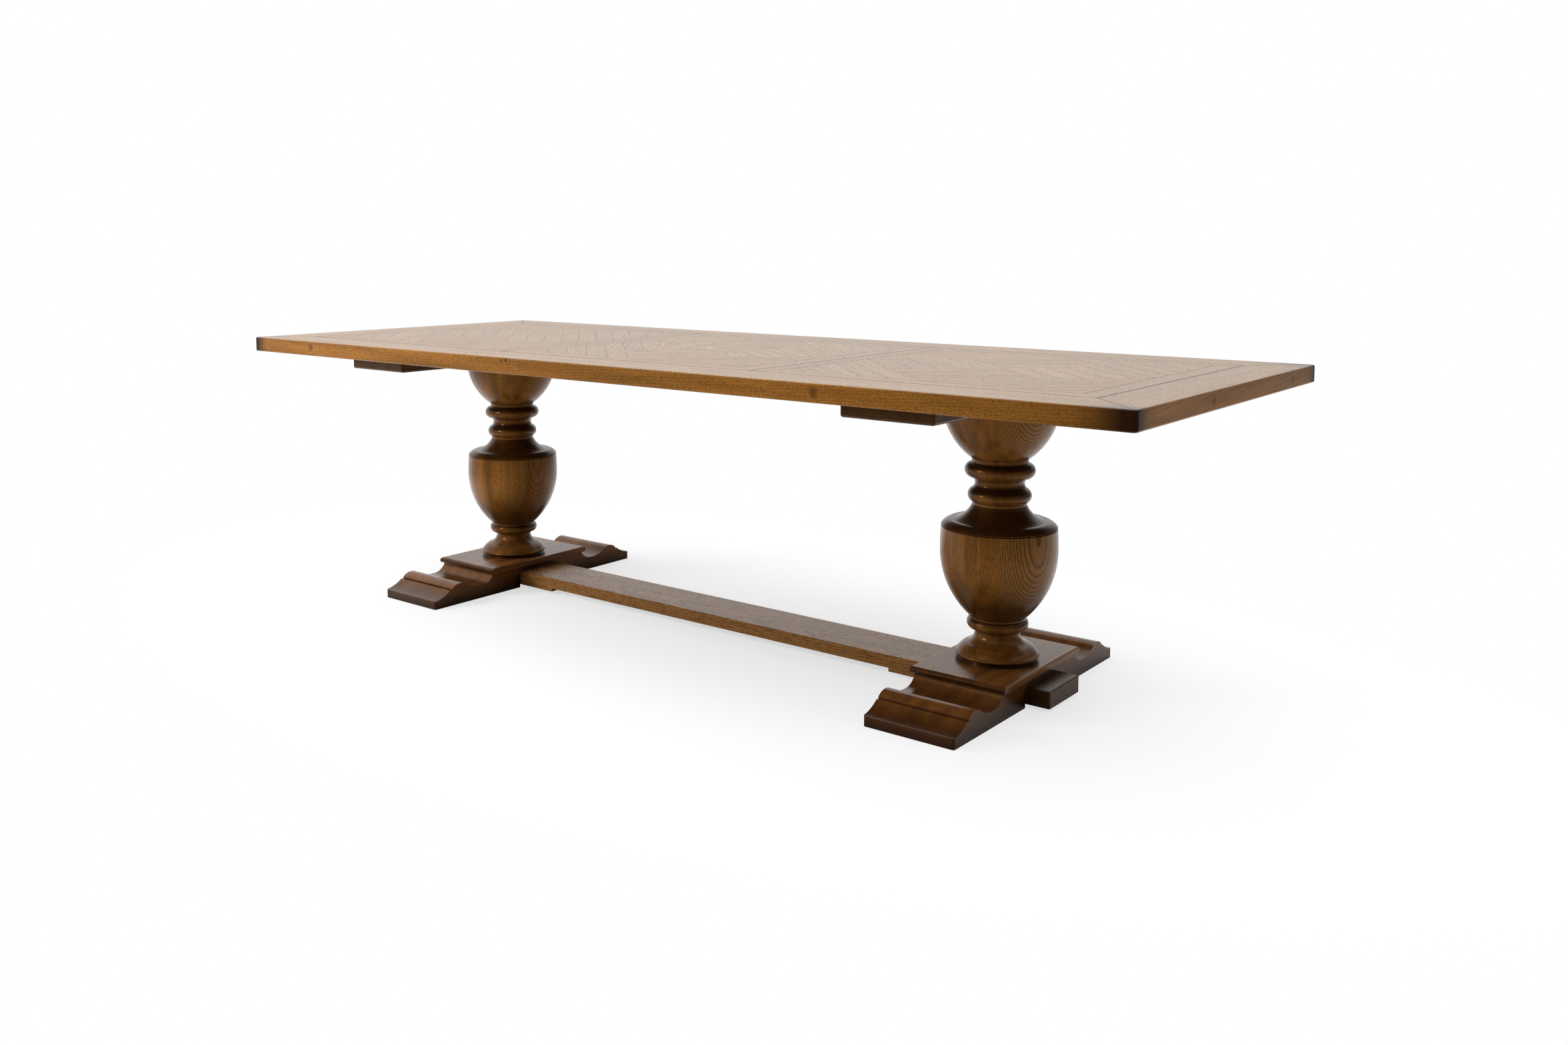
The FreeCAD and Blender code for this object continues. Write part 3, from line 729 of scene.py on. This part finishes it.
class TABLE_OT_finish_fixings(bpy.types.Operator):
    """Plate the screws, bolts and washers"""
    bl_idname = "table.finish_fixings"
    bl_label = "Fixings"

    def execute(self, context):
        # Zinc plated steel: a thin crystalline coat that scatters its reflection in small patches
        patch = 2 * MM
        zinc = opaque(linear("#B9B8B2"))
        material, tree = new_material("Zinc plated steel")
        place = add(tree, "ShaderNodeTexCoord", output="Object")
        spangle = add(tree, "ShaderNodeTexVoronoi", {"Vector": place, "Scale": 1 / patch},
                      output="Distance")
        rough = add(tree, "ShaderNodeMapRange", {"Value": spangle, "To Min": 0.28, "To Max": 0.45})
        shader = add(tree, "ShaderNodeBsdfPrincipled", {"Base Color": zinc, "Metallic": 1.0,
                                                        "Roughness": rough})
        add(tree, "ShaderNodeOutputMaterial", {"Surface": shader})
        give(material, "top_screws", "column_bolts", "bolt_washers")
        return {"FINISHED"}


def ray_kinds(tree):
    """Whether a ray comes straight from the eye or through glass, and whether it was mirrored"""
    rays = add(tree, "ShaderNodeLightPath").node.outputs
    seen = add(tree, "ShaderNodeMath", {0: rays["Is Camera Ray"], 1: rays["Is Transmission Ray"]},
               operation="MAXIMUM")
    return seen, rays["Is Glossy Ray"]


def lay_floor(context, studio):
    """White painted floor: it keeps the soft shadow near the table and fades to plain white further out"""
    bpy.ops.object.select_all(action="DESELECT")
    bpy.ops.mesh.primitive_plane_add(size=2 * studio.floor_reach, location=(0.0, 0.0, 0.0))
    floor = context.object
    floor.name = "studio_floor"

    # Distances in metres from the middle, on an oval that is long for its width as the table is
    oval_shape = (0.55, 1.0, 1.0)
    shade_full = 0.3
    shade_end = 1.3
    least_white = 0.62
    mirror_start = 1.0
    mirror_full = 1.6
    material, tree = new_material("White painted floor")
    place = add(tree, "ShaderNodeTexCoord", output="Object")
    oval = add(tree, "ShaderNodeVectorMath", {0: place, 1: oval_shape}, operation="MULTIPLY")
    away = add(tree, "ShaderNodeVectorMath", {0: oval}, output="Value", operation="LENGTH")
    fade = add(tree, "ShaderNodeMapRange", {"Value": away, "From Min": shade_full, "From Max": shade_end,
                                            "To Min": least_white, "To Max": 1.0},
               interpolation_type="SMOOTHSTEP")
    far = add(tree, "ShaderNodeMapRange", {"Value": away, "From Min": mirror_start,
                                           "From Max": mirror_full}, interpolation_type="SMOOTHSTEP")
    seen, glossy = ray_kinds(tree)
    shown = add(tree, "ShaderNodeMath", {0: fade, 1: seen}, operation="MULTIPLY")
    mirrored = add(tree, "ShaderNodeMath", {0: far, 1: glossy}, operation="MULTIPLY")
    plain = add(tree, "ShaderNodeMath", {0: shown, 1: mirrored}, operation="MAXIMUM")
    paint = add(tree, "ShaderNodeBsdfDiffuse", {"Color": opaque(studio.floor)})
    white = add(tree, "ShaderNodeEmission", {"Strength": 1.0})
    mixed = add(tree, "ShaderNodeMixShader", {0: plain, 1: paint, 2: white})
    add(tree, "ShaderNodeOutputMaterial", {"Surface": mixed})
    floor.data.materials.append(material)


def light_room(context, studio):
    """White studio: light from above, a pale backdrop behind the table, little light behind the camera"""
    ceiling_edge = 0.35
    ceiling_middle = 0.9
    backdrop_way = (-0.9, 0.44, 0.0)
    backdrop_edge = 0.3
    backdrop_middle = 0.92
    least_mirrored = 0.22
    world = bpy.data.worlds.new("White studio")
    world.use_nodes = True
    tree = world.node_tree
    tree.nodes.clear()
    direction = add(tree, "ShaderNodeTexCoord", output="Generated")
    above = add(tree, "ShaderNodeMapRange", {"Value": height_of(tree, direction), "From Min": ceiling_edge,
                                             "From Max": ceiling_middle, "To Min": studio.side_light,
                                             "To Max": studio.top_light}, interpolation_type="SMOOTHSTEP")
    ahead = add(tree, "ShaderNodeVectorMath", {0: direction, 1: backdrop_way}, output="Value",
                operation="DOT_PRODUCT")
    backdrop = add(tree, "ShaderNodeMapRange", {"Value": ahead, "From Min": backdrop_edge,
                                                "From Max": backdrop_middle})
    light = add(tree, "ShaderNodeMath", {0: backdrop, 1: studio.back_light, 2: above},
                operation="MULTIPLY_ADD")

    # The room itself is plain white, and what mirrors it shows it dimmer away from the backdrop
    seen, glossy = ray_kinds(tree)
    paleness = add(tree, "ShaderNodeMapRange", {"Value": backdrop, "To Min": least_mirrored, "To Max": 1.0})
    mirrored = add(tree, "ShaderNodeMath", {0: glossy, 1: paleness}, operation="MULTIPLY")
    shown = add(tree, "ShaderNodeMath", {0: seen, 1: mirrored}, operation="MAXIMUM")
    brightness = add(tree, "ShaderNodeMix", {"Factor": shown, "A": light, "B": 1.0}, data_type="FLOAT")
    room = add(tree, "ShaderNodeBackground", {"Color": (1.0, 1.0, 1.0, 1.0), "Strength": brightness})
    add(tree, "ShaderNodeOutputWorld", {"Surface": room})
    context.scene.world = world


def place_lamps(context, studio):
    """Soft box and fill that no reflection shows, and one small lamp that the lacquer mirrors: a flag keeps
    it off the top, so it gleams on turned and moulded wood alone"""
    aim_point = Vector((0.0, 0.0, 0.4))
    gleaming = bpy.data.collections.new("gleaming_pieces")
    for stem in ("column_", "foot_", "foot_cap_"):
        for side in SIDES:
            gleaming.objects.link(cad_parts[stem + side])

    # Name, place and width in metres, power, and the pieces that the lamp is kept to
    lamps = (("soft_box", (-2.7, -2.7, 1.6), 1.6, studio.box_power, None),
             ("fill", (4.0, 0.6, 1.0), 1.2, studio.fill_power, None),
             ("gleam", (-1.8, -3.0, 1.5), 0.5, studio.gleam_power, gleaming))
    for name, place, width, watts, pieces in lamps:
        aim = aim_point - Vector(place)
        turn = aim.to_track_quat("-Z", "Y").to_euler()
        bpy.ops.object.light_add(type="AREA", location=place, rotation=turn)
        lamp = context.object
        lamp.name = name
        lamp.data.size = width
        lamp.data.energy = watts
        lamp.visible_camera = False
        lamp.visible_glossy = pieces is not None
        lamp.light_linking.receiver_collection = pieces


def place_camera(context, studio):
    """Camera that looks down the table from its front right"""
    bpy.ops.object.camera_add(location=studio.camera_place, rotation=studio.camera_turn)
    camera = context.object
    camera.data.lens = studio.lens
    camera.data.shift_x = studio.shift_x
    camera.data.shift_y = studio.shift_y
    context.scene.camera = camera
    context.scene.view_settings.view_transform = "Standard"


class TABLE_OT_set_stage(bpy.types.Operator):
    """Lay the pale floor and place the lamps and the camera"""
    bl_idname = "table.set_stage"
    bl_label = "Studio"

    def execute(self, context):
        studio = context.scene.table_studio
        lay_floor(context, studio)
        light_room(context, studio)
        place_lamps(context, studio)
        place_camera(context, studio)
        return {"FINISHED"}


class TABLE_PT_finish(bpy.types.Panel):
    """Finishes of the table and its studio"""
    bl_idname = "TABLE_PT_finish"
    bl_label = "Refectory table"
    bl_space_type = "VIEW_3D"
    bl_region_type = "UI"
    bl_category = "Table"

    def draw(self, context):
        for name in SETTINGS:
            settings = getattr(context.scene, name)
            for prop in settings.bl_rna.properties:
                if prop.identifier not in ("rna_type", "name"):
                    self.layout.prop(settings, prop.identifier)
        for operator in OPERATORS:
            self.layout.operator(operator.bl_idname)


SETTINGS = {"table_top": TopSettings, "table_columns": ColumnSettings, "table_base": BaseSettings,
            "table_studio": StudioSettings}
OPERATORS = (TABLE_OT_finish_frame, TABLE_OT_finish_parquetry, TABLE_OT_finish_underside,
             TABLE_OT_finish_columns, TABLE_OT_finish_feet, TABLE_OT_finish_stretcher,
             TABLE_OT_finish_fixings, TABLE_OT_set_stage)


def register():
    """Make the settings, operators and panel known"""
    for name, group in SETTINGS.items():
        bpy.utils.register_class(group)
        setattr(bpy.types.Scene, name, PointerProperty(type=group))
    for operator in OPERATORS:
        bpy.utils.register_class(operator)
    bpy.utils.register_class(TABLE_PT_finish)


def unregister():
    """Forget the settings, operators and panel"""
    bpy.utils.unregister_class(TABLE_PT_finish)
    for operator in reversed(OPERATORS):
        bpy.utils.unregister_class(operator)
    for name, group in SETTINGS.items():
        delattr(bpy.types.Scene, name)
        bpy.utils.unregister_class(group)


def main():
    """Dress the table"""
    register()
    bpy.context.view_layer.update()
    bpy.ops.table.finish_frame()
    bpy.ops.table.finish_parquetry()
    bpy.ops.table.finish_underside()
    bpy.ops.table.finish_columns()
    bpy.ops.table.finish_feet()
    bpy.ops.table.finish_stretcher()
    bpy.ops.table.finish_fixings()
    bpy.ops.table.set_stage()


if __name__ == "__main__":
    main()
